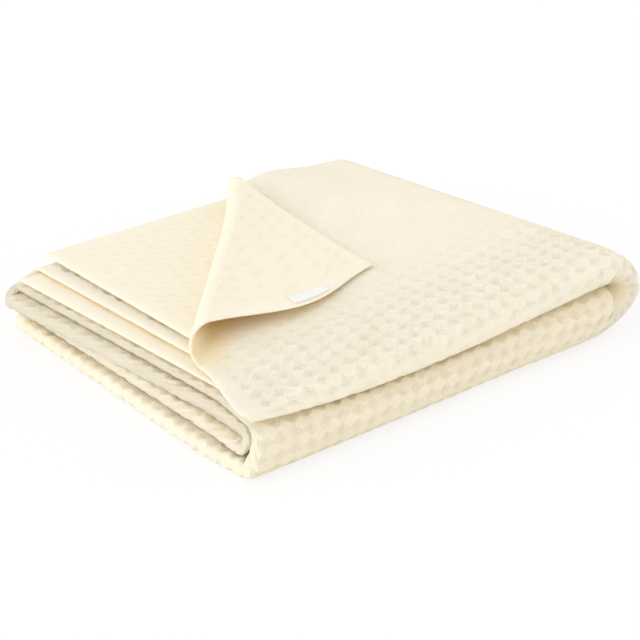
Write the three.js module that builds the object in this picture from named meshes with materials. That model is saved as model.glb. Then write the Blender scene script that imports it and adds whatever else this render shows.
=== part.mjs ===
// A knitted baby blanket, folded flat. The panel is folded three ways, in this order: the left
// third of its length is turned in against its reverse side, its width is folded in half twice,
// and the third that is left over is carried back on top from the right-hand end. One corner of
// the top layer is turned back and shows the reverse side, with a small woven label at its hem.
// X runs along the stack, Y from the front fold to the back edge, Z up, all in millimetres.

import * as THREE from 'three';

// Cloth
const KNIT = 3.2;              // thickness of the knit
const TUCK_PITCHES = [9, 7.4, 7.7, 4.5];  // from each layer to the ply turned in against it

// Stack, measured from the ground under its front left corner
const DEPTH = 300;             // front fold to back edge
const SEAM_Z = 44;             // height where the upper strip lies on the lower group
const BEND_X = 353;            // axis of the right-hand bend, which lies in the seam
const BEND_REACH = 0.97;       // reach of the bend for each millimetre of distance from the seam
const BEND_EARLY = 0.62;       // how much sooner it starts underneath, for each such millimetre
const TUCK_END = 250;          // hem of the turned-in third, inside the stack
const CLOSING = 85;            // length over which the layers close up past that hem
const FULLNESS = 0.85;         // power of sine and cosine in the front fold: 1 is an ellipse
const TURN_FULLNESS = 0.6;     // and in the folded left ends, which the stack presses flat
const FOLD_SWELL = 4;          // how much further in the turned-in ply lies within the front fold

// Sections across the stack: levels are the distances of the four layers from the seam, the
// outermost first; front is where the front fold begins and bulge how far it reaches from there;
// inner is where the inner fold bends; slack is how far the outermost layer sinks at the front,
// where the inner fold fills nothing; back is where the back fold ends.
const SECTIONS = {
  lowerLeft: { levels: [42.4, 22, 18.4, 2.2], front: 16, bulge: 19, inner: 21, slack: 0, back: 300 },
  lowerRight: { levels: [42.4, 29, 15.6, 2.2], front: 18, bulge: 25, inner: 26, slack: 0, back: 300 },
  upperRight: { levels: [21.4, 14.6, 8.4, 2.2], front: 13, bulge: 12, inner: 26, slack: 3, back: 300 },
  upperLeft: { levels: [15.4, 10.9, 6.6, 2.2], front: 6, bulge: 5, inner: 70, slack: 8.2, back: 291 },
};

// Left ends of the four layers, outermost first, at the front, at the turned corner and at the
// back: of the folded ends in the lower group, and of the hems in the upper strip
const LEFT_ENDS = [
  { lowerFront: 1, lowerMiddle: -2, lowerBack: 4, hemFront: -3, hemMiddle: 8, hemBack: 8 },
  { lowerFront: 3, lowerMiddle: 6, lowerBack: 8, hemFront: 34, hemMiddle: 36, hemBack: 36 },
  { lowerFront: 8, lowerMiddle: 11, lowerBack: -8, hemFront: 30, hemMiddle: 29, hemBack: 21 },
  { lowerFront: 7, lowerMiddle: 15, lowerBack: 3, hemFront: 3, hemMiddle: 17, hemBack: 4 },
];

// Turned-back corner of the top layer: its two legs run along the side hem and the back hem
const SIDE_LEG = 238;
const BACK_LEG = 234;
const TURN_HEM_X = LEFT_ENDS[0].hemBack;
const TURN_Y = DEPTH - SIDE_LEG;
const FOLD_LENGTH = Math.hypot(SIDE_LEG, BACK_LEG);
const CORNER_REACH = SIDE_LEG * BACK_LEG / FOLD_LENGTH;  // from the fold line to the corner
const ROLL_FRONT = 10;         // radius of the roll at the side hem
const ROLL_BACK = 10.5;        // and at the back hem
const FLAP_CLEAR = 4.2;        // from the top layer to the flap, where it lies down
const FLAP_REACH = 0.8;        // share of its length that the uneven flap covers
const HEM_SAG = 15;            // how far the flap's side hem bows out towards the front
const TENT = { height: 8.5, x: 275, spreadX: 42, spreadY: 60 };  // top layer held up by the roll

// Label
const LABEL = { length: 43, width: 10, thickness: 0.5, gap: 0.37, inset: 0.6, fromCorner: 88 };

// Height of the seam and of the upper strip, as a share of the even stack, at its four corners
const SWELL = {
  frontLeft: { lower: 1.07, upper: 1.0 },
  backLeft: { lower: 1.0, upper: 1.0 },
  frontRight: { lower: 0.9, upper: 1.2 },
  backRight: { lower: 0.86, upper: 0.87 },
};
const SKEW_BACK = 28;          // how far the bend lies further left at the back edge
// The upper strip weighs the lower group down along the front, most of all left of the middle
const DIP = { depth: 64, power: 1.5, strip: 12 };

// Grid: cells in each stretch
const CELLS_ALONG = { tuck: 9, turn: 4, main: 13, bend: 8, top: 5 };
const CELLS_ACROSS = { front: 3, outerFold: 6, fourth: 6, backFold: 4, third: 6, innerFold: 4, second: 8 };
const TURN_CELLS = 10;         // along each leg of the turned-back corner
const ROLL_CELLS = 6;
const FLAP_CELLS = 5;
const LABEL_CELLS = { length: 4, width: 2 };

const mix = (a, b, t) => a + (b - a) * t;

function smooth(t) {
  const c = Math.min(Math.max(t, 0), 1);
  return c * c * (3 - 2 * c);
}

function mixSections(a, b, t) {
  return {
    levels: a.levels.map((level, i) => mix(level, b.levels[i], t)),
    bulge: mix(a.bulge, b.bulge, t),
    front: mix(a.front, b.front, t),
    inner: mix(a.inner, b.inner, t),
    slack: mix(a.slack, b.slack, t),
    back: mix(a.back, b.back, t),
    tent: 0,
  };
}

// The section at a place along the cloth
function sectionAt({ zone, t }) {
  if (zone === 'bend') return mixSections(SECTIONS.lowerRight, SECTIONS.upperRight, smooth(t));
  if (zone === 'top') {
    const fromTent = (mix(BEND_X, TURN_HEM_X, t) - TENT.x) / TENT.spreadX;
    const tent = TENT.height * Math.exp(-(fromTent ** 2));
    return { ...mixSections(SECTIONS.upperRight, SECTIONS.upperLeft, t), tent };
  }
  const x = zone === 'main' ? t * BEND_X : 0;
  return mixSections(SECTIONS.lowerLeft, SECTIONS.lowerRight, smooth((x - TUCK_END) / CLOSING));
}

// Distance of the outermost layer from the seam, less where the front fold is empty
function outerLevel(section, y) {
  const tent = section.tent * Math.exp(-(((DEPTH - y) / TENT.spreadY) ** 2));
  return section.levels[0] + tent - section.slack * (1 - smooth(y / section.inner));
}

// Sine or cosine with fuller shoulders, which makes a bend squarer
const full = (value, power) => Math.sign(value) * Math.abs(value) ** power;

// Point of the section: across names the stretch and the place in it, and offset moves the point
// towards the knit face. Returns y, the distance r from the seam and the left ends found there.
function sectionPoint(section, across, offset) {
  const [, second, third, fourth] = section.levels;
  const frontLevel = outerLevel(section, section.front);
  const backRadius = (third - fourth) / 2;
  const backY = section.back - KNIT / 2 - backRadius;
  const innerRadius = (second - third) / 2;
  const angle = Math.PI * across.t;
  const layer = (index, y, r) => ({ y, r, left: [index, index, 0] });
  const fold = (from, to, y, r) => ({ y, r, left: [from, to, smooth(across.t)] });
  if (across.part === 'outermost') {
    const y = across.y ?? mix(TURN_Y, section.front, across.t);
    return layer(0, y, outerLevel(section, y) + offset);
  }
  if (across.part === 'outerFold') {
    const middle = (frontLevel + fourth) / 2;
    const r = middle + ((frontLevel - fourth) / 2 + offset) * full(Math.cos(angle), FULLNESS);
    return fold(0, 3, section.front - (section.bulge + offset) * full(Math.sin(angle), FULLNESS), r);
  }
  if (across.part === 'fourth') return layer(3, mix(section.front, backY, across.t), fourth - offset);
  if (across.part === 'backFold') {
    const y = backY + (backRadius + offset) * Math.sin(angle);
    return fold(3, 2, y, (third + fourth) / 2 - (backRadius + offset) * Math.cos(angle));
  }
  if (across.part === 'third') return layer(2, mix(backY, section.inner, across.t), third + offset);
  if (across.part === 'innerFold') {
    const y = section.inner - (innerRadius - offset) * Math.sin(angle);
    return fold(2, 1, y, (second + third) / 2 - (innerRadius - offset) * Math.cos(angle));
  }
  return layer(1, mix(section.inner, DEPTH, across.t), second - offset);
}

// Left end of the layers at y, from the columns of LEFT_ENDS that start with the given word
function leftEnd(word, [from, to, t], y) {
  const end = (row) => (y < TURN_Y
    ? mix(row[`${word}Front`], row[`${word}Middle`], smooth(y / TURN_Y))
    : mix(row[`${word}Middle`], row[`${word}Back`], (y - TURN_Y) / SIDE_LEG));
  return mix(end(LEFT_ENDS[from]), end(LEFT_ENDS[to]), t);
}

function tuckPitch([from, to, t]) {
  const swell = to > from ? FOLD_SWELL * 4 * t * (1 - t) : 0;
  return mix(TUCK_PITCHES[from], TUCK_PITCHES[to], t) + swell;
}

// The even stack is swollen and skewed as a whole, so that layers keep their order
function settle(x, y, z) {
  const alongShare = Math.min(Math.max(x / BEND_X, 0), 1);
  const acrossShare = Math.min(Math.max(y / DEPTH, 0), 1);
  const share = (key) => mix(
    mix(SWELL.frontLeft[key], SWELL.backLeft[key], acrossShare),
    mix(SWELL.frontRight[key], SWELL.backRight[key], acrossShare),
    alongShare,
  );
  const dip = DIP.depth * alongShare * (1 - alongShare) ** DIP.power * (1 - acrossShare);
  const aboveSeam = Math.max(z - SEAM_Z, 0);
  const lower = Math.min(z, SEAM_Z) * (share('lower') - dip / SEAM_Z);
  const upper = aboveSeam * share('upper') + dip * Math.min(aboveSeam / DIP.strip, 1);
  const skew = SKEW_BACK * acrossShare * smooth((x - BEND_X / 3) / (BEND_X * 2 / 3));
  return [x - skew, y, lower + upper];
}

// Point of the folded cloth; w runs through its thickness, towards the knit face
function clothPoint(along, across, w) {
  const section = sectionAt(along);
  if (along.zone === 'bend') {
    const { y, r } = sectionPoint(section, across, w);
    const turn = Math.PI * (along.t - 0.5);
    const early = BEND_EARLY * r * (1 - smooth(along.t)) * Math.sin(turn) ** 2;
    return settle(BEND_X + BEND_REACH * r * Math.cos(turn) - early, y, SEAM_Z + r * Math.sin(turn));
  }
  if (along.zone === 'top') {
    const { y, r, left } = sectionPoint(section, across, w);
    return settle(mix(BEND_X, leftEnd('hem', left, y), along.t), y, SEAM_Z + r);
  }
  const turn = along.zone === 'turn' ? Math.PI * (1 - along.t) : 0;
  const halfTuck = tuckPitch(sectionPoint(section, across, 0).left) / 2;
  const turned = (halfTuck + w) * full(Math.cos(turn), TURN_FULLNESS) - halfTuck;
  const offset = along.zone === 'tuck' ? -2 * halfTuck - w : turned;
  const { y, r, left } = sectionPoint(section, across, offset);
  const turnX = leftEnd('lower', left, y) + halfTuck + KNIT / 2;
  const reach = (halfTuck + w) * full(Math.sin(turn), TURN_FULLNESS);
  const start = along.zone === 'tuck' ? TUCK_END : turnX - reach;
  const end = along.zone === 'tuck' ? turnX : BEND_X - BEND_EARLY * r;
  return settle(along.zone === 'turn' ? start : mix(start, end, along.t), y, SEAM_Z - r);
}

// Point of the turned-back corner, given by its distance from the fold line and its place along
// that line, counted from the side hem; w as above. The sheet curls up round a roll and comes to
// lie on the top layer with its reverse side up.
function cornerPoint(distance, alongFold, w) {
  const radius = mix(ROLL_FRONT, ROLL_BACK, alongFold / FOLD_LENGTH);
  const turn = Math.min(distance / radius, Math.PI);
  const flat = Math.max(distance - Math.PI * radius, 0);
  const flatShare = flat / (CORNER_REACH - Math.PI * radius);
  const out = (radius - w) * Math.sin(turn) - flat * FLAP_REACH;
  const fromHem = (alongFold - distance) / FOLD_LENGTH;
  const sag = HEM_SAG * Math.sin(Math.PI * flatShare) ** 2 * (1 - fromHem) ** 2;
  const x = TURN_HEM_X + (alongFold * BACK_LEG - out * SIDE_LEG) / FOLD_LENGTH;
  const y = TURN_Y + (alongFold * SIDE_LEG + out * BACK_LEG) / FOLD_LENGTH - sag;
  const section = sectionAt({ zone: 'top', t: (BEND_X - x) / (BEND_X - TURN_HEM_X) });
  const rise = radius - (radius - w) * Math.cos(turn);
  const sink = (2 * radius - FLAP_CLEAR) * (1 - (1 - flatShare) ** 2);
  return settle(x, y, SEAM_Z + outerLevel(section, y) + rise - sink);
}

// Places along and across the cloth, as lists of stations that share their end points
function stations(part, cells, key) {
  return Array.from({ length: cells }, (_, i) => ({ [key]: part, t: (i + 1) / cells }));
}

function alongStations() {
  const cornerEnd = BACK_LEG / (BEND_X - TURN_HEM_X);
  const { tuck, turn, main, bend, top } = CELLS_ALONG;
  return [
    { zone: 'tuck', t: 0 },
    ...stations('tuck', tuck, 'zone'),
    ...stations('turn', turn, 'zone'),
    ...stations('main', main, 'zone'),
    ...stations('bend', bend, 'zone'),
    ...stations('top', top, 'zone').map((s) => ({ ...s, t: s.t * (1 - cornerEnd) })),
    ...stations('top', TURN_CELLS, 'zone').map((s) => ({ ...s, t: mix(1 - cornerEnd, 1, s.t) })),
  ];
}

function acrossStations() {
  const { front, outerFold, fourth, backFold, third, innerFold, second } = CELLS_ACROSS;
  return [
    { part: 'outermost', y: DEPTH },
    ...stations('outermost', TURN_CELLS, 'part').map((s) => ({ ...s, y: DEPTH - s.t * SIDE_LEG })),
    ...stations('outermost', front, 'part'),
    ...stations('outerFold', outerFold, 'part'),
    ...stations('fourth', fourth, 'part'),
    ...stations('backFold', backFold, 'part'),
    ...stations('third', third, 'part'),
    ...stations('innerFold', innerFold, 'part'),
    ...stations('second', second, 'part'),
  ];
}

// Closed mesh from one face of a sheet: pointAt gives each vertex on either face, and the rim
// joins the two faces along every edge that only one triangle uses
function thickSheet(pointAt, count, triangles) {
  const positions = [];
  for (const side of [1, -1]) {
    for (let i = 0; i < count; i += 1) positions.push(...pointAt(i, side));
  }
  const edges = new Map();
  for (const triangle of triangles) {
    triangle.forEach((a, i) => edges.set(`${a},${triangle[(i + 1) % 3]}`, [a, triangle[(i + 1) % 3]]));
  }
  const index = triangles.flatMap(([a, b, c]) => [a, b, c, c + count, b + count, a + count]);
  for (const [a, b] of edges.values()) {
    if (!edges.has(`${b},${a}`)) index.push(b, a, a + count, b, a + count, b + count);
  }
  const geometry = new THREE.BufferGeometry();
  geometry.setAttribute('position', new THREE.Float32BufferAttribute(positions, 3));
  geometry.setIndex(index);
  return geometry;
}

function blanketGeometry() {
  const along = alongStations();
  const across = acrossStations();
  const last = along.length - 1;
  const points = [];
  const ids = new Map();
  const vertex = (key, pointAt) => {
    if (!ids.has(key)) {
      ids.set(key, points.length);
      points.push(pointAt);
    }
    return ids.get(key);
  };
  const grid = (i, j) => vertex(`grid ${i} ${j}`, (w) => clothPoint(along[i], across[j], w));
  const triangles = [];
  for (let i = 0; i < last; i += 1) {
    for (let j = 0; j < across.length - 1; j += 1) {
      const fromFold = (last - i) + j - TURN_CELLS;
      if (fromFold > 0) triangles.push([grid(i, j), grid(i + 1, j), grid(i + 1, j + 1)]);
      if (fromFold >= 0) triangles.push([grid(i, j), grid(i + 1, j + 1), grid(i, j + 1)]);
    }
  }
  const rows = ROLL_CELLS + FLAP_CELLS;
  const corner = (row, k) => {
    if (row === 0) return grid(last - k, TURN_CELLS - k);
    const share = row === rows ? 0 : k / TURN_CELLS;
    const rollLength = Math.PI * mix(ROLL_FRONT, ROLL_BACK, share);
    const rollPart = rollLength * Math.min(row / ROLL_CELLS, 1);
    const flapPart = (CORNER_REACH - rollLength) * Math.max(row - ROLL_CELLS, 0) / FLAP_CELLS;
    const distance = rollPart + flapPart;
    const atSideHem = distance * SIDE_LEG / BACK_LEG;
    const atBackHem = FOLD_LENGTH - distance * BACK_LEG / SIDE_LEG;
    const alongFold = mix(atSideHem, atBackHem, share);
    return vertex(`corner ${row} ${share}`, (w) => cornerPoint(distance, alongFold, w));
  };
  for (let row = 0; row < rows; row += 1) {
    for (let k = 0; k < TURN_CELLS; k += 1) {
      triangles.push([corner(row, k), corner(row, k + 1), corner(row + 1, k + 1)]);
      if (row < rows - 1) triangles.push([corner(row, k), corner(row + 1, k + 1), corner(row + 1, k)]);
    }
  }
  return thickSheet((id, side) => points[id](side * KNIT / 2), points.length, triangles);
}

// The label lies on the reverse side of the turned-back corner, along its side hem
function labelGeometry() {
  const { length, width, thickness, gap, inset, fromCorner } = LABEL;
  const columns = LABEL_CELLS.length;
  const rows = LABEL_CELLS.width;
  const pointAt = (id, side) => {
    const fromTip = fromCorner + length * ((id % (columns + 1)) / columns - 0.5);
    const fromHem = inset + width * Math.floor(id / (columns + 1)) / rows;
    const upHem = SIDE_LEG - fromTip;
    const distance = (upHem * BACK_LEG - fromHem * SIDE_LEG) / FOLD_LENGTH;
    const alongFold = (upHem * SIDE_LEG + fromHem * BACK_LEG) / FOLD_LENGTH;
    return cornerPoint(distance, alongFold, -KNIT / 2 - gap - thickness * (1 - side) / 2);
  };
  const triangles = [];
  for (let row = 0; row < rows; row += 1) {
    for (let column = 0; column < columns; column += 1) {
      const id = row * (columns + 1) + column;
      const above = id + columns + 1;
      triangles.push([id, id + 1, above + 1], [id, above + 1, above]);
    }
  }
  return thickSheet(pointAt, (columns + 1) * (rows + 1), triangles);
}

// The origin is under the middle of the stack's box
const cream = new THREE.MeshStandardMaterial({ color: 0xf3e8cf, roughness: 0.95, metalness: 0 });
const white = new THREE.MeshStandardMaterial({ color: 0xf6f5f0, roughness: 0.8, metalness: 0 });
const blanket = new THREE.Mesh(blanketGeometry(), cream);
blanket.name = 'blanket';
const label = new THREE.Mesh(labelGeometry(), white);
label.name = 'label';

const object = new THREE.Group();
object.add(blanket, label);
const box = new THREE.Box3().setFromObject(object);
const centre = box.getCenter(new THREE.Vector3());
object.position.set(-centre.x, -centre.y, -box.min.z);

export default object;
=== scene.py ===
import math

import bpy
import numpy as np
from mathutils import Matrix, Vector


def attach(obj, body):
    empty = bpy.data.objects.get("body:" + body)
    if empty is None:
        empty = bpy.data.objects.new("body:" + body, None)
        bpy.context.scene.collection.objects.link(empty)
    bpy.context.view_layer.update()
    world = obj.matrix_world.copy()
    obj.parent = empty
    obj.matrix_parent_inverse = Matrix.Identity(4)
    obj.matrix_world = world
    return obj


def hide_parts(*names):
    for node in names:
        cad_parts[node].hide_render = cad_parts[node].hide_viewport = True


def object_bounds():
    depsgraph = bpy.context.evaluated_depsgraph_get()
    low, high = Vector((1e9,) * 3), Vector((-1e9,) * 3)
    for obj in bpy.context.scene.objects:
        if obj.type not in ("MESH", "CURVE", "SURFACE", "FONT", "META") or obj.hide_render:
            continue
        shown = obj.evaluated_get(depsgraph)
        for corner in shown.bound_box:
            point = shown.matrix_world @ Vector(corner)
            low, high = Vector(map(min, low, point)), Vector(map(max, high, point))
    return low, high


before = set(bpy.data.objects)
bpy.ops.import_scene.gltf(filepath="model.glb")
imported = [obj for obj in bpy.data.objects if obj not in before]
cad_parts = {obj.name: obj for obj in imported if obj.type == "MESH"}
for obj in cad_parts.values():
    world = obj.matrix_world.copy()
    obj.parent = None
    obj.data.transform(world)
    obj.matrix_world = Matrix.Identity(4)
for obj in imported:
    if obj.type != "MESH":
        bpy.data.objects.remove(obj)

cad_low, cad_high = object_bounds()

# ---------------------------------------------------------------------------------------------
# Camera. It stands well back and looks down on the front left corner of the folded stack, so
# that the open left end, the front fold and the turned-back corner all face it.
# ---------------------------------------------------------------------------------------------
CAMERA_AZIMUTH = math.radians(39.5)
CAMERA_ELEVATION = math.radians(25.92)
CAMERA_DISTANCE = 1.527
CAMERA_LENS = 112.5
CAMERA_SHIFT = (0.0295, -0.0405)
AIM_FROM_MIDDLE = (-0.0188, 0.0071, -0.0077)

azimuth_sine, azimuth_cosine = math.sin(CAMERA_AZIMUTH), math.cos(CAMERA_AZIMUTH)
forward = Vector((
    azimuth_sine * math.cos(CAMERA_ELEVATION),
    azimuth_cosine * math.cos(CAMERA_ELEVATION),
    -math.sin(CAMERA_ELEVATION),
))
right = Vector((azimuth_cosine, -azimuth_sine, 0))
aim = (cad_low + cad_high) / 2 + Vector(AIM_FROM_MIDDLE)
camera_data = bpy.data.cameras.new("camera")
camera_data.lens = CAMERA_LENS
camera_data.sensor_width = 36
camera_data.shift_x, camera_data.shift_y = CAMERA_SHIFT


def placed(name, data):
    """A new object in the scene."""
    made = bpy.data.objects.new(name, data)
    bpy.context.scene.collection.objects.link(made)
    return made


camera = placed("camera", camera_data)
camera.matrix_world = Matrix.Translation(aim - forward * CAMERA_DISTANCE) @ Matrix(
    (right, right.cross(forward), -forward)
).transposed().to_4x4()
bpy.context.scene.camera = camera


# ---------------------------------------------------------------------------------------------
# Floor and light. The stack lies on a plain white floor under a bright, even studio sky, with
# two broad, weak lamps low down on the left and in front, so that its sides are nearly as light
# as its top.
# ---------------------------------------------------------------------------------------------
FLOOR_HALF_SIDE = 6.0
FLOOR_COLOUR = (0.95, 0.95, 0.95)
FLOOR_LIFT = 0.75  # share of plain white in the floor as the camera sees it
SKY_STRENGTH = 0.9
LAMP_ANGLE = 70
LAMPS = {  # strength, and where the light comes from
    "left lamp": (1.35, (-0.92, 0.1, 0.3)),
    "front lamp": (0.6, (0.6, -0.75, 0.15)),
}


class Wire:
    """An output of a shader node. Arithmetic on wires and numbers adds Math nodes."""

    def __init__(self, tree, socket=None):
        self.tree = tree
        self.socket = socket

    def node(self, kind, settings=None, inputs=None, output=0):
        made = self.tree.nodes.new(kind)
        for name, value in (settings or {}).items():
            setattr(made, name, value)
        for name, value in (inputs or {}).items():
            if isinstance(value, Wire):
                value.feed(made.inputs[name])
            else:
                made.inputs[name].default_value = value
        return Wire(self.tree, made.outputs[output])

    def feed(self, socket):
        self.tree.links.new(self.socket, socket)

    def math(self, operation, *values):
        return self.node("ShaderNodeMath", {"operation": operation}, dict(enumerate(values)))

    def __add__(self, other):
        return self.math("ADD", self, other)

    def __sub__(self, other):
        return self.math("SUBTRACT", self, other)

    def __rsub__(self, other):
        return self.math("SUBTRACT", other, self)

    def __mul__(self, other):
        return self.math("MULTIPLY", self, other)

    __radd__ = __add__
    __rmul__ = __mul__

    def step(self, low, high):
        """Rises smoothly from 0 to 1 between low and high, or falls where low is above high."""
        return self.node(
            "ShaderNodeMapRange",
            {"interpolation_type": "SMOOTHSTEP"},
            {"Value": self, "From Min": low, "From Max": high},
        )

    def blend(self, colour, other):
        """The two colours, mixed by this wire: colour at 0 and other at 1."""
        return self.node(
            "ShaderNodeMix", {"data_type": "RGBA"}, {0: self, 6: colour, 7: other}, output=2
        )


def material_named(name, **constants):
    """A new material, a wire that starts its nodes, and its shader with constant sockets set."""
    made = bpy.data.materials.new(name)
    made.use_nodes = True
    shader = made.node_tree.nodes["Principled BSDF"]
    for socket, value in constants.items():
        shader.inputs[socket.replace("_", " ")].default_value = value
    return made, Wire(made.node_tree), shader


def seen_directly(start):
    """1 where the camera sees a surface itself or in a mirror or through glass, else 0."""
    seen = start.node("ShaderNodeLightPath", output="Is Camera Ray")
    for ray in ("Is Glossy Ray", "Is Transmission Ray"):
        seen = seen.math("MAXIMUM", seen, start.node("ShaderNodeLightPath", output=ray))
    return seen


floor_material, start, shader = material_named(
    "floor white", Roughness=0.9, Base_Color=(*FLOOR_COLOUR, 1)
)
white = start.node("ShaderNodeEmission", inputs={"Color": (1, 1, 1, 1), "Strength": 1.0})
lifted = start.node("ShaderNodeMixShader", inputs={
    0: seen_directly(start) * FLOOR_LIFT,
    1: Wire(start.tree, shader.outputs["BSDF"]),
    2: white,
})
lifted.feed(start.tree.nodes["Material Output"].inputs["Surface"])
floor_mesh = bpy.data.meshes.new("floor")
side = FLOOR_HALF_SIDE
floor_mesh.from_pydata(
    [(-side, -side, 0), (side, -side, 0), (side, side, 0), (-side, side, 0)], [], [(0, 1, 2, 3)]
)
floor_mesh.materials.append(floor_material)
floor = placed("floor", floor_mesh)

world = bpy.data.worlds.new("sky")
world.use_nodes = True
bpy.context.scene.world = world
background = world.node_tree.nodes["Background"]
background.inputs["Color"].default_value = (1, 1, 1, 1)
sky_level = SKY_STRENGTH + seen_directly(Wire(world.node_tree)) * (1 - SKY_STRENGTH)
sky_level.feed(background.inputs["Strength"])

for name, (strength, source) in LAMPS.items():
    lamp_data = bpy.data.lights.new(name, "SUN")
    lamp_data.energy = strength
    lamp_data.angle = math.radians(LAMP_ANGLE)
    lamp = placed(name, lamp_data)
    lamp.rotation_euler = Vector(source).to_track_quat("Z", "Y").to_euler()

# Light passes many times between the pale folds before it is lost
bpy.context.scene.cycles.max_bounces = 24
bpy.context.scene.cycles.diffuse_bounces = 16

bpy.context.scene.view_settings.view_transform = "Standard"


# ---------------------------------------------------------------------------------------------
# Blanket. One cotton panel, knitted in rows of sunken cells with a plain edge all round. Its left
# end is turned in against its reverse side, its width is folded in half twice, the rest is carried
# back on top from the right, and the back left corner of the top layer is turned back.
# ---------------------------------------------------------------------------------------------

# Sizes of the stack, in millimetres from the ground under its front left corner
KNIT = 3.2             # thickness of the knit
DEPTH = 300            # front fold to back edge
SEAM_Z = 44            # height where the upper strip lies on the lower group
BEND_X = 353           # axis of the right-hand bend, which lies in the seam
BEND_REACH = 0.97      # reach of the bend for each millimetre of distance from the seam
BEND_EARLY = 0.62      # how much sooner it starts underneath, for each such millimetre
TUCK_END = 250         # hem of the turned-in cloth, inside the stack
CLOSING = 85           # length over which the layers close up past that hem
FULLNESS = 0.85        # power of sine and cosine in the front fold: 1 is an ellipse
TURN_FULLNESS = 0.6    # and in the folded left ends, which the stack presses flat
FOLD_SWELL = 4         # how much further in the turned-in cloth lies within the front fold

# Sections across the stack: distances of the four layers from the seam, where the front fold
# begins and how far it bulges, where the inner fold bends, how far the outermost layer sinks at
# the front, and where the back fold ends
SECTION_COLUMNS = (
    "outermost", "second", "third", "fourth", "front", "bulge", "inner", "slack", "back",
)
SECTIONS = {
    "lower left": (42.4, 22, 18.4, 2.2, 16, 19, 21, 0, 300),
    "lower right": (42.4, 29, 15.6, 2.2, 18, 25, 26, 0, 300),
    "upper right": (21.4, 14.6, 8.4, 2.2, 13, 12, 26, 3, 300),
    "upper left": (15.4, 10.9, 6.6, 2.2, 6, 5, 70, 8.2, 291),
}

# How far the turned-in cloth lies from what it is turned in against, in each layer
TUCK_PITCHES = {"outermost": 9, "second": 7.4, "third": 7.7, "fourth": 4.5}

# Left ends of the four layers at the front, at the turned corner and at the back: of the folded
# ends in the lower group, and of the hems in the upper strip
LEFT_ENDS = {
    "outermost": {"lower": (1, -2, 4), "hem": (-3, 8, 8)},
    "second": {"lower": (3, 6, 8), "hem": (34, 36, 36)},
    "third": {"lower": (8, 11, -8), "hem": (30, 29, 21)},
    "fourth": {"lower": (7, 15, 3), "hem": (3, 17, 4)},
}

# Turned-back corner of the top layer: its two legs run along the side hem and the back hem
SIDE_LEG = 238
BACK_LEG = 234
TURN_HEM_X = LEFT_ENDS["outermost"]["hem"][2]
TURN_Y = DEPTH - SIDE_LEG
FOLD_LENGTH = math.hypot(SIDE_LEG, BACK_LEG)
CORNER_REACH = SIDE_LEG * BACK_LEG / FOLD_LENGTH  # from the fold line to the corner
ROLL_FRONT = 10        # radius of the roll at the side hem
ROLL_BACK = 10.5       # and at the back hem
FLAP_CLEAR = 4.2       # from the top layer to the flap, where it lies down
FLAP_REACH = 0.8       # share of its length that the uneven flap covers
HEM_SAG = 15           # how far the flap's side hem bows out towards the front
TENT_HEIGHT, TENT_X, TENT_SPREAD_X, TENT_SPREAD_Y = 8.5, 275, 42, 60  # top layer held up by the roll

# Height of the seam and of the upper strip at the four corners, as shares of the even stack
SWELL = {
    "front left": (1.07, 1.0), "back left": (1.0, 1.0),
    "front right": (0.9, 1.2), "back right": (0.86, 0.87),
}
SKEW_BACK = 28         # how far the back of the right-hand end lies further left than its front

# The upper strip weighs the lower group down along the front, most of all left of the middle. The
# lowest DIP_STRIP millimetres of the strip fill the dip, so that its top stays level.
DIP_DEPTH, DIP_POWER, DIP_STRIP = 64, 1.5, 12

# Cells of the mesh in each stretch. A tile is eight by eight cells, and is drawn whole where it
# lies hidden between layers.
TILE = 8
ALONG = {"tuck": 24, "turn": 8, "main": 160, "bend": 56, "top": 56, "hem": 104}
ACROSS = {
    "corner": 104, "outermost": 40, "outer fold": 32, "fourth": 136, "back fold": 8,
    "third": 128, "inner fold": 8, "second": 136,
}
LAYER_ENDS = {  # the layer that each stretch across leaves from and arrives at
    "corner": ("outermost", "outermost"), "outermost": ("outermost", "outermost"),
    "outer fold": ("outermost", "fourth"), "fourth": ("fourth", "fourth"),
    "back fold": ("fourth", "third"), "third": ("third", "third"),
    "inner fold": ("third", "second"), "second": ("second", "second"),
}

# The knit's cells: pitch along and across, where the cloth is stretched more or less
CELL_PITCH = 13.4
CELL_ALONG = {
    "tuck": CELL_PITCH, "turn": 14.14, "main": CELL_PITCH, "bend": 14.2, "top": 15.2, "hem": 15.0,
}
CELL_ACROSS = {"outermost": 11.6, "outer fold": 11.6}
CELL_PHASE_ACROSS = 0.3   # share of its first row of cells that the back hem cuts off
CELL_WANDER = 0.08        # how far the rows and columns wander, in cells
CELL_SLANT = 0.3          # how much each cell leans to one side
ROW_CLIMB = (0.15, 0.26)  # climb of the rows towards the back on top, near the bend and far off
COLUMN_LEAN = -0.25       # slant of the columns on top
CELL_DEPTH = 1.25
CELL_DEPTH_RANGE = (0.6, 1.35)  # share of that depth, which varies from one cell to the next
CELL_SEED = 7
CELL_TABLE = 128          # cells each way before the depths repeat, more than the panel has
FIRST_CELL = 8            # row and column of the table that the first cell takes its depth from
PIT_DEPTH = 0.5           # of the small pits where four cells meet
DIMPLE_DEPTH = 0.2        # on the reverse side
BOWL_FLOOR, BOWL_WALL, PIT_RIM = 0.1, 0.45, 0.62  # distances from the middle of a cell, in cells
PLAIN_EDGE = 10
CELL_FADE = 4             # from the plain edge to cells of full depth
EDGE_ROUNDING = 1.3       # how far the rounded edge stands out
EDGE_THINNING = 0.35      # share of its thickness that the knit loses at its edge
EDGE_TAPER = 3            # width over which it does
LIP_FLATTENING = 0.6      # share of the relief lost on the lip of the upper front fold
TOP_RELIEF = (0.05, 0.75)  # share of the relief kept on top, at the back and along the front
TURN_RELIEF = 0.85        # and round the folded left ends


def mix(a, b, share):
    return a + (b - a) * share


def smooth(share):
    held = np.clip(share, 0, 1)
    return held * held * (3 - 2 * held)


def full(value, power):
    """A sine or cosine brought nearer to 1, which squares up a round fold."""
    return np.sign(value) * np.abs(value) ** power


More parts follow.
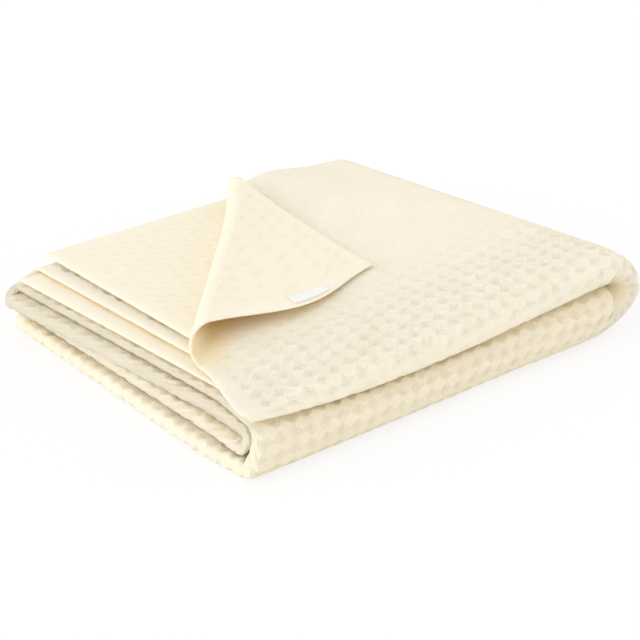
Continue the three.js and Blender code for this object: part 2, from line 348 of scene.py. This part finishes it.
def section_between(a, b, share):
    low, high = np.array(SECTIONS[a], float), np.array(SECTIONS[b], float)
    return {name: mix(low[k], high[k], share) for k, name in enumerate(SECTION_COLUMNS)}


def section_at(stretch, place):
    """The section at places along a stretch, as a column of values for each of its sizes."""
    if stretch == "bend":
        return {**section_between("lower right", "upper right", smooth(place)), "tent": 0 * place}
    if stretch in ("top", "hem"):
        from_tent = (mix(BEND_X, TURN_HEM_X, place) - TENT_X) / TENT_SPREAD_X
        tent = TENT_HEIGHT * np.exp(-(from_tent ** 2))
        return {**section_between("upper right", "upper left", place), "tent": tent}
    x = place * BEND_X if stretch == "main" else 0 * place
    closing = smooth((x - TUCK_END) / CLOSING)
    return {**section_between("lower left", "lower right", closing), "tent": 0 * place}


def outer_level(section, y):
    """Distance of the outermost layer from the seam, less where the front fold is empty."""
    tent = section["tent"] * np.exp(-(((DEPTH - y) / TENT_SPREAD_Y) ** 2))
    return section["outermost"] + tent - section["slack"] * (1 - smooth(y / section["inner"]))


def section_point(section, part, place, offset):
    """Y and distance from the seam, on a stretch across; offset is towards the knit face."""
    angle = np.pi * place
    flat = 0 * offset
    front_level = outer_level(section, section["front"])
    back_radius = (section["third"] - section["fourth"]) / 2
    back_y = section["back"] - KNIT / 2 - back_radius
    inner_radius = (section["second"] - section["third"]) / 2
    if part == "corner":
        return place + flat, outer_level(section, place) + offset
    if part == "outermost":
        y = mix(TURN_Y, section["front"], place)
        return y + flat, outer_level(section, y) + offset
    if part == "outer fold":
        middle = (front_level + section["fourth"]) / 2
        half = (front_level - section["fourth"]) / 2
        y = section["front"] - (section["bulge"] + offset) * full(np.sin(angle), FULLNESS)
        return y, middle + (half + offset) * full(np.cos(angle), FULLNESS)
    if part == "fourth":
        return mix(section["front"], back_y, place) + flat, section["fourth"] - offset
    if part == "back fold":
        y = back_y + (back_radius + offset) * np.sin(angle)
        middle = (section["third"] + section["fourth"]) / 2
        return y, middle - (back_radius + offset) * np.cos(angle)
    if part == "third":
        return mix(back_y, section["inner"], place) + flat, section["third"] + offset
    if part == "inner fold":
        y = section["inner"] - (inner_radius - offset) * np.sin(angle)
        middle = (section["second"] + section["third"]) / 2
        return y, middle - (inner_radius - offset) * np.cos(angle)
    return mix(section["inner"], DEPTH, place) + flat, section["second"] - offset


def left_end(kind, part, place, y):
    """X of the layers' left ends at y, passing from one layer's to the next round a fold."""
    ends = []
    for layer in LAYER_ENDS[part]:
        front, middle, back = LEFT_ENDS[layer][kind]
        ends.append(np.where(
            y < TURN_Y,
            mix(front, middle, smooth(y / TURN_Y)),
            mix(middle, back, (y - TURN_Y) / SIDE_LEG),
        ))
    return mix(*ends, smooth(place))


def tuck_pitch(part, place):
    share = smooth(place)
    swell = FOLD_SWELL * 4 * share * (1 - share) if part == "outer fold" else 0
    return mix(*(TUCK_PITCHES[layer] for layer in LAYER_ENDS[part]), share) + swell


def settled(x, y, z):
    """The even stack, swollen and skewed as a whole, so that its layers keep their order."""
    along, across = np.clip(x / BEND_X, 0, 1), np.clip(y / DEPTH, 0, 1)
    lower, upper = (
        mix(
            mix(SWELL["front left"][k], SWELL["back left"][k], across),
            mix(SWELL["front right"][k], SWELL["back right"][k], across),
            along,
        )
        for k in (0, 1)
    )
    skew = SKEW_BACK * across * smooth((x - BEND_X / 3) / (BEND_X * 2 / 3))
    dip = DIP_DEPTH * along * (1 - along) ** DIP_POWER * (1 - across)
    above_seam = np.maximum(z - SEAM_Z, 0)
    height = np.minimum(z, SEAM_Z) * (lower - dip / SEAM_Z)
    height = height + above_seam * upper + dip * np.minimum(above_seam / DIP_STRIP, 1)
    return np.stack(np.broadcast_arrays(x - skew, y, height), -1)


def leaving(part, across):
    """How far round a fold a place lies; the flat stretches have the same layer at both ends."""
    return across if part.endswith("fold") else 0 * across


def flat_cloth_point(stretch, along, part, across, w):
    """Point of the folded cloth before its corner is turned; w is towards the knit face."""
    section = section_at(stretch, along)
    half_tuck = tuck_pitch(part, leaving(part, across)) / 2
    if stretch == "bend":
        y, r = section_point(section, part, across, w)
        turn = np.pi * (along - 0.5)
        early = BEND_EARLY * r * (1 - smooth(along)) * np.sin(turn) ** 2
        return BEND_X + BEND_REACH * r * np.cos(turn) - early, y, SEAM_Z + r * np.sin(turn)
    if stretch in ("top", "hem"):
        y, r = section_point(section, part, across, w)
        return mix(BEND_X, left_end("hem", part, leaving(part, across), y), along), y, SEAM_Z + r
    turn = np.pi * (1 - along) if stretch == "turn" else 0 * along
    if stretch == "tuck":
        offset = -2 * half_tuck - w
    else:
        offset = (half_tuck + w) * full(np.cos(turn), TURN_FULLNESS) - half_tuck
    y, r = section_point(section, part, across, offset)
    turn_x = left_end("lower", part, leaving(part, across), y) + half_tuck + KNIT / 2
    if stretch == "tuck":
        return mix(TUCK_END, turn_x, along), y, SEAM_Z - r
    left_x = turn_x - (half_tuck + w) * full(np.sin(turn), TURN_FULLNESS)
    if stretch == "turn":
        return left_x, y, SEAM_Z - r
    return mix(left_x, BEND_X - BEND_EARLY * r, along), y, SEAM_Z - r


def turned_corner_point(x, y, w):
    """Where a point of the flat top layer beyond the fold line comes to lie."""
    along_fold = ((x - TURN_HEM_X) * BACK_LEG + (y - TURN_Y) * SIDE_LEG) / FOLD_LENGTH
    distance = ((y - TURN_Y) * BACK_LEG - (x - TURN_HEM_X) * SIDE_LEG) / FOLD_LENGTH
    radius = mix(ROLL_FRONT, ROLL_BACK, along_fold / FOLD_LENGTH)
    turn = np.minimum(distance / radius, np.pi)
    flat = np.maximum(distance - np.pi * radius, 0)
    flat_share = flat / (CORNER_REACH - np.pi * radius)
    out = (radius - w) * np.sin(turn) - flat * FLAP_REACH
    from_hem = (along_fold - distance) / FOLD_LENGTH
    sag = HEM_SAG * np.sin(np.pi * np.clip(flat_share, 0, 1)) ** 2 * (1 - from_hem) ** 2
    folded_x = TURN_HEM_X + (along_fold * BACK_LEG - out * SIDE_LEG) / FOLD_LENGTH
    folded_y = TURN_Y + (along_fold * SIDE_LEG + out * BACK_LEG) / FOLD_LENGTH - sag
    section = section_at("hem", (BEND_X - folded_x) / (BEND_X - TURN_HEM_X))
    rise = radius - (radius - w) * np.cos(turn)
    sink = (2 * radius - FLAP_CLEAR) * (1 - (1 - np.minimum(flat_share, 1)) ** 2)
    return folded_x, folded_y, SEAM_Z + outer_level(section, folded_y) + rise - sink


corner_start = 1 - BACK_LEG / (BEND_X - TURN_HEM_X)
along_places = {name: np.arange(1, count + 1) / count for name, count in ALONG.items()}
along_places["tuck"] = np.arange(0, ALONG["tuck"] + 1) / ALONG["tuck"]
along_places["top"] = along_places["top"] * corner_start
along_places["hem"] = mix(corner_start, 1, along_places["hem"])
across_places = {name: np.arange(1, count + 1) / count for name, count in ACROSS.items()}
across_places["corner"] = DEPTH - SIDE_LEG * np.arange(0, ACROSS["corner"] + 1) / ACROSS["corner"]


def spans(places):
    """The range of stations of each stretch."""
    found, start = {}, 0
    for name, values in places.items():
        found[name] = slice(start, start + len(values))
        start += len(values)
    return found


along_spans, across_spans = spans(along_places), spans(across_places)
columns, rows = sum(map(len, along_places.values())), sum(map(len, across_places.values()))
turned = np.zeros((columns, rows), bool)
last = columns - 1
for k in range(ACROSS["corner"]):
    turned[last - ACROSS["corner"] + 1 + k:, k] = True


def cloth(w, turn_corner=True):
    """Every station of the cloth at depth w, a table with one value for each of them."""
    points = np.zeros((columns, rows, 3))
    for stretch, along in along_places.items():
        for part, across in across_places.items():
            block = along_spans[stretch], across_spans[part]
            x, y, z = flat_cloth_point(stretch, along[:, None], part, across[None, :], w[block])
            points[block] = settled(x, y, z)
            if turn_corner and (stretch, part) == ("hem", "corner"):
                x, y, z = turned_corner_point(x, y, w[block])
                points[block] = np.where(turned[block][..., None], settled(x, y, z), points[block])
    return points


# Cloth coordinates: lengths along and across the panel, and from them the knit's own cells
level = np.zeros((columns, rows))
middle = cloth(level, turn_corner=False)
steps_along = np.linalg.norm(np.diff(middle, axis=0), axis=2)
steps_across = np.linalg.norm(np.diff(middle, axis=1), axis=2)
reference_row = ACROSS["corner"]
length_steps = steps_along[:, reference_row]
length = np.concatenate([[0], np.cumsum(length_steps)])
pitches = np.concatenate([
    np.full(len(places), CELL_ALONG[name]) for name, places in along_places.items()
])
cell_u = np.concatenate([[0], np.cumsum(length_steps / pitches[1:])])[:, None] + level
across_length = np.concatenate([level[:, :1], np.cumsum(steps_across, axis=1)], axis=1)
past_bend = np.clip(length - length[along_spans["top"].start], 0, None)
climb = past_bend * mix(*ROW_CLIMB, past_bend / BEND_X / 2)
askew = smooth(across_length / DEPTH * 2)
lean = COLUMN_LEAN * smooth(past_bend / BEND_X * 2)[:, None] * (across_length - DEPTH) * askew
cell_u = cell_u - cell_u[along_spans["turn"].start - 1, 0] + 0.5 - lean / CELL_ALONG["top"]
across_pitches = np.concatenate([
    np.full(len(places), CELL_ACROSS.get(name, CELL_PITCH)) for name, places in across_places.items()
])
cells_across = np.cumsum(steps_across / across_pitches[1:], axis=1)
cell_v = np.concatenate([level[:, :1], cells_across], axis=1)
cell_v = cell_v - climb[:, None] * askew / CELL_ACROSS["outermost"] + CELL_PHASE_ACROSS
cell_u, cell_v = (
    cell_u + CELL_WANDER * np.sin(2.1 * cell_v + 1.3 * np.sin(0.9 * cell_u)),
    cell_v + CELL_WANDER * np.sin(1.9 * cell_u + 1.1 * np.sin(1.2 * cell_v)),
)

# The relief fades out at the hems, along the lip of the upper front fold, and where an inner
# layer is drawn together round the bend
to_hem = np.minimum.reduce([
    across_length,
    across_length[:, -1:] - across_length,
    (length[-1] - length)[:, None] + level,
    length[:, None] + level,
])
stretch_along = np.concatenate([steps_along / length_steps[:, None], level[:1] + 1])
relief = smooth((to_hem - PLAIN_EDGE) / CELL_FADE) * smooth((stretch_along - 0.25) / 0.3)
round_front = across_places["outer fold"]
lip = smooth((round_front - 0.45) / 0.1) * smooth((1 - round_front) / 0.1)
for stretch, share in (("top", smooth(along_places["top"] / 0.3)[:, None]), ("hem", 1)):
    relief[along_spans[stretch], across_spans["outer fold"]] *= 1 - LIP_FLATTENING * lip * share
reverse_relief = relief.copy()

# On the top layer the cells are pulled flat, and show only along the front
top_share = np.zeros(columns)
top_share[along_spans["bend"]] = smooth((along_places["bend"] - 0.5) / 0.45)
top_share[along_spans["top"].start:] = 1
on_top = top_share[:, None] * smooth((1.15 - across_length / DEPTH) / 0.2)
from_bend = np.clip(past_bend / BEND_X, 0, 1)[:, None]
weakness = smooth((0.86 - np.clip(across_length / DEPTH, 0, 1)) / 0.34 + 0.3 * from_bend)
relief *= 1 - on_top * (1 - mix(TOP_RELIEF[1], TOP_RELIEF[0], weakness))
relief[along_spans["turn"]] *= TURN_RELIEF

# Each cell is a round bowl of its own depth, a little askew, with small pits at its corners
random = np.random.default_rng(CELL_SEED)
depth_table = random.uniform(*CELL_DEPTH_RANGE, (CELL_TABLE, CELL_TABLE))
cell_numbers = [
    (np.floor(place).astype(int) + FIRST_CELL) % CELL_TABLE for place in (cell_u, cell_v)
]
depths = depth_table[tuple(cell_numbers)]
from_middle_u, from_middle_v = cell_u % 1 - 0.5, cell_v % 1 - 0.5
slant = CELL_SLANT * 4 * from_middle_u * from_middle_v
from_centre = np.abs(from_middle_u) + np.abs(from_middle_v) - slant
bowl = 1 - smooth((from_centre - BOWL_FLOOR) / BOWL_WALL)
pit = smooth((from_centre - PIT_RIM) / (1 - PIT_RIM))
sunken = (bowl * CELL_DEPTH * depths + pit * PIT_DEPTH) * relief
half_thickness = KNIT / 2 * (1 - EDGE_THINNING * (1 - smooth(to_hem / EDGE_TAPER)))
knit_face = cloth(half_thickness - sunken)
reverse_face = cloth(-half_thickness + DIMPLE_DEPTH * bowl * reverse_relief)

# Painted shade: where the cloth lies in recesses and gets light only from the cloth around them, its
# colour is painted a deeper tan: the front fold up to the crease under the upper strip, the drawn-in
# bend, the rolls at the left end, most of all in the gaps between them, and the tunnel of the turned
# corner, from its mouth at the side hem up along the fold line
FRONT_PAINTED_SHADE, CREASE_PAINTED_SHADE = 0.3, 0.5
ROLL_PAINTED_SHADE, GAP_PAINTED_SHADE = 0.1, 0.3
TUNNEL_IN_FRONT, TUNNEL_EDGE = 26, 30
TUNNEL_LENGTH, TUNNEL_FADE = 40, 220
MOUTH_EDGE = 24
painted_shade = np.zeros((columns, rows))
crease = smooth((round_front - 0.72) / 0.2)
painted_shade[along_spans["main"], across_spans["outer fold"]] = mix(FRONT_PAINTED_SHADE, CREASE_PAINTED_SHADE, crease)
painted_shade[along_spans["bend"]] = 1 - smooth(stretch_along[along_spans["bend"]] / 0.7)
in_gap = (np.cos(2 * np.pi * along_places["turn"]) * 0.5 + 0.5) ** 4
painted_shade[along_spans["turn"]] = mix(ROLL_PAINTED_SHADE, GAP_PAINTED_SHADE, in_gap)[:, None]
flat_x = mix(BEND_X, TURN_HEM_X, along_places["hem"])[:, None] - TURN_HEM_X
for part, flat_y in (
    ("corner", across_places["corner"] - TURN_Y),
    ("outermost", (section_at("hem", 0.5)["front"] - TURN_Y) * across_places["outermost"]),
):
    fold_distance = (flat_y * BACK_LEG - flat_x * SIDE_LEG) / FOLD_LENGTH
    up_fold = (flat_x * BACK_LEG + flat_y * SIDE_LEG) / FOLD_LENGTH
    inside = smooth((fold_distance + TUNNEL_IN_FRONT) / TUNNEL_EDGE)
    inside = inside * (1 - smooth((up_fold - TUNNEL_LENGTH) / TUNNEL_FADE))
    painted_shade[along_spans["hem"], across_spans[part]] = inside * smooth(up_fold / MOUTH_EDGE + 0.5)

# The frame's origin is on the ground, under the middle of the plain folded cloth
plain = np.concatenate([cloth(level + side * KNIT / 2).reshape(-1, 3) for side in (1, -1)])
plain_low, plain_high = plain.min(0), plain.max(0)
shift = np.array([
    -(plain_low[0] + plain_high[0]) / 2, -(plain_low[1] + plain_high[1]) / 2, -plain_low[2],
])


HEM_TILES = 2         # tiles of an inner layer that show inside its hem
FLAP_TILES = 3        # tiles of the flap's knit face that show in its roll
UNDERSIDE_TILES = 5   # tiles of the second layer's reverse side that show inside its side hem


def tile_steps(face):
    """Size of the mesh's cells in each tile: 1 where the cloth is seen, up to TILE elsewhere."""
    count_along, count_across = (columns - 1) // TILE, (rows - 1) // TILE
    steps = np.full((count_along, count_across), TILE)

    def tiles(span):
        return slice(max(span.start - 1, 0) // TILE, (span.stop - 1) // TILE)

    def along(name):
        return tiles(along_spans[name])

    def across(name):
        return tiles(across_spans[name])

    if face == "knit":
        steps[along("turn")] = 1
        for stretch in ("main", "bend", "top", "hem"):
            steps[along(stretch), across("outer fold")] = 1
            steps[along(stretch), across("back fold")] = 1
        for stretch in ("bend", "top", "hem"):
            steps[along(stretch), across("outermost")] = 1
            steps[along(stretch), across("corner")] = 1
        steps[along("main").start, across("fourth")] = 1
        steps[-HEM_TILES:, across("third")] = 1
    else:
        steps[along("turn")] = TILE // 2
        steps[along("hem"), across("second")] = 1
        steps[-HEM_TILES:, across("fourth")] = 1
    # The turned corner shows its reverse side, and what it leaves open shows below it
    corner_end = across("corner").stop
    for i in range(along("hem").start, count_along):
        for j in range(count_across):
            from_side, from_back = count_along - 1 - i, j
            in_flap = corner_end - 1 - from_side - from_back
            if j < corner_end and in_flap >= 0:
                steps[i, j] = 1 if face == "reverse" or in_flap < FLAP_TILES else TILE
            elif face == "reverse" and j >= across("second").start:
                from_back = count_across - 1 - j
                covered = from_side + from_back > corner_end + HEM_TILES
                if covered and from_side >= UNDERSIDE_TILES:
                    steps[i, j] = TILE
    return steps


def corners_used(steps):
    """The stations at which the cells of a face of the cloth have their corners."""
    used = np.zeros((columns, rows), bool)
    for (i, j), size in np.ndenumerate(steps):
        used[i * TILE:(i + 1) * TILE + 1:size, j * TILE:(j + 1) * TILE + 1:size] = True
    return used


def cell_outlines(steps, used):
    """Each cell as its corners, with every other station on its sides that a neighbour uses."""
    for (i, j), size in np.ndenumerate(steps):
        for a in range(i * TILE, (i + 1) * TILE, size):
            for b in range(j * TILE, (j + 1) * TILE, size):
                c, d = a + size, b + size
                outline = [(k, b) for k in range(a, c)] + [(c, k) for k in range(b, d)]
                outline += [(k, d) for k in range(c, a, -1)] + [(a, k) for k in range(d, b, -1)]
                yield [station for station in outline if used[station]]


def edge_stations(last_along, last_across):
    """The stations all round a panel, in order, each with its neighbour further in."""
    for i in range(last_along):
        yield (i, 0), (i, 1)
    for j in range(last_across):
        yield (last_along, j), (last_along - 1, j)
    for i in range(last_along, 0, -1):
        yield (i, last_across), (i, last_across - 1)
    for j in range(last_across, 0, -1):
        yield (0, j), (1, j)


def cloth_mesh(name, points, faces, uv_name, uv_places):
    """A smooth mesh from points in millimetres, with a place on its cloth for each of them."""
    mesh = bpy.data.meshes.new(name)
    mesh.from_pydata(((np.array(points) + shift) / 1000).tolist(), [], faces)
    mesh.polygons.foreach_set("use_smooth", [True] * len(faces))
    loop_vertices = np.zeros(len(mesh.loops), int)
    mesh.loops.foreach_get("vertex_index", loop_vertices)
    mesh.uv_layers.new(name=uv_name).uv.foreach_set("vector", uv_places[loop_vertices].ravel())
    mesh.update()
    return mesh


steps = {face: tile_steps(face) for face in ("knit", "reverse")}
used = {face: corners_used(steps[face]) for face in steps}
around = [
    (station, inner) for station, inner in edge_stations(last, rows - 1)
    if used["knit"][station] or used["reverse"][station]
]
for station, _ in around:
    used["knit"][station] = used["reverse"][station] = True
numbers, vertices, stations, shades = {}, [], [], []
# Each station of a face, with its relief and the painted shade of its recesses; the reverse has no
# painted shade
for face, points, shown, painted_shade_of_face in (
    ("knit", knit_face, relief, painted_shade), ("reverse", reverse_face, reverse_relief, level),
):
    for station in map(tuple, np.argwhere(used[face])):
        numbers[face, station] = len(vertices)
        vertices.append(points[station])
        stations.append(station)
        shades.append((shown[station], painted_shade_of_face[station]))
for station, inner in around:
    edge = (knit_face[station] + reverse_face[station]) / 2
    outward = edge - (knit_face[inner] + reverse_face[inner]) / 2
    numbers["hem", station] = len(vertices)
    vertices.append(edge + outward / max(np.linalg.norm(outward), 1e-6) * EDGE_ROUNDING)
    stations.append(station)
    shades.append((0, 0))
polygons, face_materials = [], []
for material_index, face in enumerate(("knit", "reverse")):
    for outline in cell_outlines(steps[face], used[face]):
        corners = [numbers[face, station] for station in outline]
        polygons.append(corners if face == "knit" else corners[::-1])
        face_materials.append(material_index)
for (a, _), (b, _) in zip(around, around[1:] + around[:1]):
    for outer, inner in (("knit", "hem"), ("hem", "reverse")):
        polygons.append([numbers[outer, b], numbers[outer, a], numbers[inner, a], numbers[inner, b]])
        face_materials.append(0)
vertex_cells = np.stack([cell_u, cell_v], -1)[tuple(np.array(stations).T)]
blanket_mesh = cloth_mesh("knitted_blanket", vertices, polygons, "knit_cells", vertex_cells)
blanket_mesh.polygons.foreach_set("material_index", face_materials)
# The relief, and the painted shade of the recesses, go to the materials as attributes
for name, values in zip(("relief", "painted_shade"), np.array(shades).T):
    blanket_mesh.attributes.new(name, "FLOAT", "POINT").data.foreach_set("value", values)
blanket_mesh.update()

# Cotton yarn: a warm cream, with a deeper, yellower painted shade in the sunken cells, the holes and
# the recesses
# The knit face's cream is lighter than the reverse's: painted light, making up for the top layer
# catching less of the left lamp
FACE_COLOUR = (0.98, 0.91, 0.75, 1)
REVERSE_COLOUR = (0.93, 0.86, 0.70, 1)
# Painted shade in the sunken cells
CELL_SHADE_COLOUR = (0.87, 0.75, 0.50, 1)
# Painted shade in the holes and specks between the yarns
HOLE_SHADE_COLOUR = (0.55, 0.42, 0.21, 1)
# Painted shade in the recesses: its deeper tan, and how strongly it is laid on
PAINTED_SHADE_COLOUR = (0.95, 0.80, 0.48, 1)
PAINTED_SHADE_TINT = 0.85
YARN_BUMP = 0.0012
STITCHES_ALONG, STITCHES_ACROSS = 8, 9  # in each cell


def noise(place, scale, detail, **inputs):
    inputs = {"Vector": place, "Scale": scale, "Detail": detail, **inputs}
    return place.node("ShaderNodeTexNoise", inputs=inputs)


def knit_material(name, yarn_colour, cell_shade_tint, hole_shade_tint, hole_size, speckles, yarn_relief):
    """One side of the knit, in places counted in cells along and across the cloth."""
    material, start, shader = material_named(name, Roughness=0.92, Specular_IOR_Level=0.15)
    place = start.node("ShaderNodeUVMap", {"uv_map": "knit_cells"})
    relief = start.node("ShaderNodeAttribute", {"attribute_name": "relief"}, output="Fac")
    # How much painted shade the recesses get here
    painted_shade = start.node("ShaderNodeAttribute", {"attribute_name": "painted_shade"}, output="Fac")

    # A cell: how far a place is from its middle, with its edges wandering a little
    u = place.node("ShaderNodeSeparateXYZ", inputs={0: place}, output=0)
    v = place.node("ShaderNodeSeparateXYZ", inputs={0: place}, output=1)
    u = u + (noise(place, 2.3, 2.0) - 0.5) * 0.3
    v = v + (noise(place, 3.1, 2.0) - 0.5) * 0.3
    across_cell = u.math("ABSOLUTE", u.math("FRACT", u) - 0.5)
    down_cell = v.math("ABSOLUTE", v.math("FRACT", v) - 0.5)
    from_centre = across_cell + down_cell
    cell = 1 - from_centre.step(0.1, 0.52)
    corner = from_centre.step(0.6, 1.0)
    ridge = 1 - from_centre.math("ABSOLUTE", from_centre - 0.55).step(0.0, 0.25)

    # Holes between the yarns: one in the middle of a cell, and specks all over it, sunk in the bump
    # and darkened with painted shade
    hole = 1 - from_centre.step(0.02, hole_size)
    inside_cell = 1 - from_centre.step(0.15, 0.7) * 0.8
    speckle = noise(place, 13.0, 0.0).step(0.5, 0.64) * inside_cell * speckles

    # Yarn: slanted stitches in upright columns, with fluff on them
    slant = u.math("ABSOLUTE", u.math("FRACT", u * STITCHES_ALONG) - 0.5)
    stitch = u.math("SINE", (v * STITCHES_ACROSS + slant * 1.3) * (2 * math.pi))
    column = u.math("COSINE", u * (STITCHES_ALONG * 2 * math.pi))
    fluff = noise(place, 9.0, 4.0, Roughness=0.7)

    # Colour: painted shade in the sunken cells, soft patches in the yarn's cream, then painted shade
    # in the holes and specks, then in the recesses
    shown = relief.math("MINIMUM", relief, 1.0)
    patches = noise(place, 0.35, 2.0)
    # Painted shade in the sunken cells and their corner pits, as strong as the relief shows; random
    # fluff and patches vary the yarn's cream
    cell_shade_and_patches = (cell + corner * 0.5) * (shown * shown) * cell_shade_tint
    cell_shade_and_patches = cell_shade_and_patches + (fluff - 0.5) * 0.25 + (patches - 0.5) * 0.25
    colour = cell_shade_and_patches.blend(yarn_colour, CELL_SHADE_COLOUR)
    # Painted shade: the holes and specks darkened towards brown where the relief shows
    colour = ((hole * 0.3 + speckle * 1.2) * shown * hole_shade_tint).blend(colour, HOLE_SHADE_COLOUR)
    # Painted shade: the recesses tinted a deeper tan
    colour = (painted_shade * PAINTED_SHADE_TINT).blend(colour, PAINTED_SHADE_COLOUR)
    colour.feed(shader.inputs["Base Color"])

    height = (stitch * 0.12 + column * 0.06 + (fluff - 0.5) * 0.7 + ridge * shown * 0.5) * yarn_relief
    height = height - (hole * 0.3 + speckle) * shown * 0.5
    bump = start.node(
        "ShaderNodeBump", inputs={"Strength": 0.8, "Distance": YARN_BUMP, "Height": height}
    )
    bump.feed(shader.inputs["Normal"])
    return material


blanket_mesh.materials.append(knit_material(
    "cream knit face", FACE_COLOUR,
    cell_shade_tint=0.12, hole_shade_tint=0.24, hole_size=0.2, speckles=1.0, yarn_relief=1.0,
))
blanket_mesh.materials.append(knit_material(
    "cream knit reverse", REVERSE_COLOUR,
    cell_shade_tint=0.2, hole_shade_tint=0.2, hole_size=0.11, speckles=0.15, yarn_relief=0.25,
))
blanket = placed("knitted_blanket", blanket_mesh)
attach(blanket, "root")
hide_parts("blanket")


# ---------------------------------------------------------------------------------------------
# Label. A short woven tape in plain white, sewn to the reverse side of the turned-back corner,
# along its side hem. It is left bare.
# ---------------------------------------------------------------------------------------------
LABEL_LENGTH = 43
LABEL_WIDTH = 10
LABEL_THICKNESS = 0.5
LABEL_GAP = 0.37
LABEL_INSET = 0.6        # from the side hem
LABEL_FROM_CORNER = 88   # from the panel's corner to the middle of the label
LABEL_CELLS = (44, 10)
END_ROUNDING, SIDE_ROUNDING = 1.2, 0.6
WARP_PITCH, WEFT_PITCH = 0.5, 0.4
WARP_COLOUR = (0.94, 0.94, 0.91, 1)
WEFT_COLOUR = (0.86, 0.86, 0.83, 1)


def label_point(along, across, lift):
    """Place on the label: along from its middle, across from its hem side, lift off the knit."""
    x = TURN_HEM_X + LABEL_INSET + across
    y = DEPTH - LABEL_FROM_CORNER - along
    return settled(*turned_corner_point(x, y, -KNIT / 2 - LABEL_GAP - lift))


grid_along, grid_across = np.meshgrid(
    np.linspace(-LABEL_LENGTH / 2, LABEL_LENGTH / 2, LABEL_CELLS[0] + 1),
    np.linspace(0, LABEL_WIDTH, LABEL_CELLS[1] + 1),
    indexing="ij",
)
end_share = (LABEL_LENGTH / 2 - np.abs(grid_along)) / END_ROUNDING
side_share = np.minimum(grid_across, LABEL_WIDTH - grid_across) / SIDE_ROUNDING
round_off = 0.5 - 0.5 * smooth(np.minimum(end_share, side_share) + 0.35)
label_points = np.concatenate([
    label_point(grid_along, grid_across, LABEL_THICKNESS * share).reshape(-1, 3)
    for share in (1 - 0.5 * round_off, 0.5 * round_off)
])
label_numbers = np.arange(grid_along.size).reshape(grid_along.shape)
under = grid_along.size
label_faces = []
for i, j in np.ndindex(LABEL_CELLS):
    corners = [int(label_numbers[k]) for k in ((i, j), (i + 1, j), (i + 1, j + 1), (i, j + 1))]
    label_faces.append(corners)
    label_faces.append([k + under for k in reversed(corners)])
rim = [int(label_numbers[station]) for station, _ in edge_stations(*LABEL_CELLS)]
for a, b in zip(rim, rim[1:] + rim[:1]):
    label_faces.append([b, a, a + under, b + under])
weave_places = np.tile(np.stack([grid_along.ravel(), grid_across.ravel()], -1), (2, 1))
label_mesh = cloth_mesh("woven_label", label_points, label_faces, "weave", weave_places)

label_material, start, shader = material_named(
    "white woven tape", Roughness=0.6, Specular_IOR_Level=0.3
)
place = start.node("ShaderNodeUVMap", {"uv_map": "weave"})
warp = place.node("ShaderNodeSeparateXYZ", inputs={0: place}, output=0) * (2 * math.pi / WARP_PITCH)
weft = place.node("ShaderNodeSeparateXYZ", inputs={0: place}, output=1) * (2 * math.pi / WEFT_PITCH)
weave = warp.math("SINE", warp) * weft.math("SINE", weft) * 0.5 + 0.5
weave.blend(WEFT_COLOUR, WARP_COLOUR).feed(shader.inputs["Base Color"])
weave_bump = start.node(
    "ShaderNodeBump", inputs={"Strength": 0.5, "Distance": 0.0001, "Height": weave}
)
weave_bump.feed(shader.inputs["Normal"])
label_mesh.materials.append(label_material)
label = placed("woven_label", label_mesh)
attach(label, "root")
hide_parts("label")
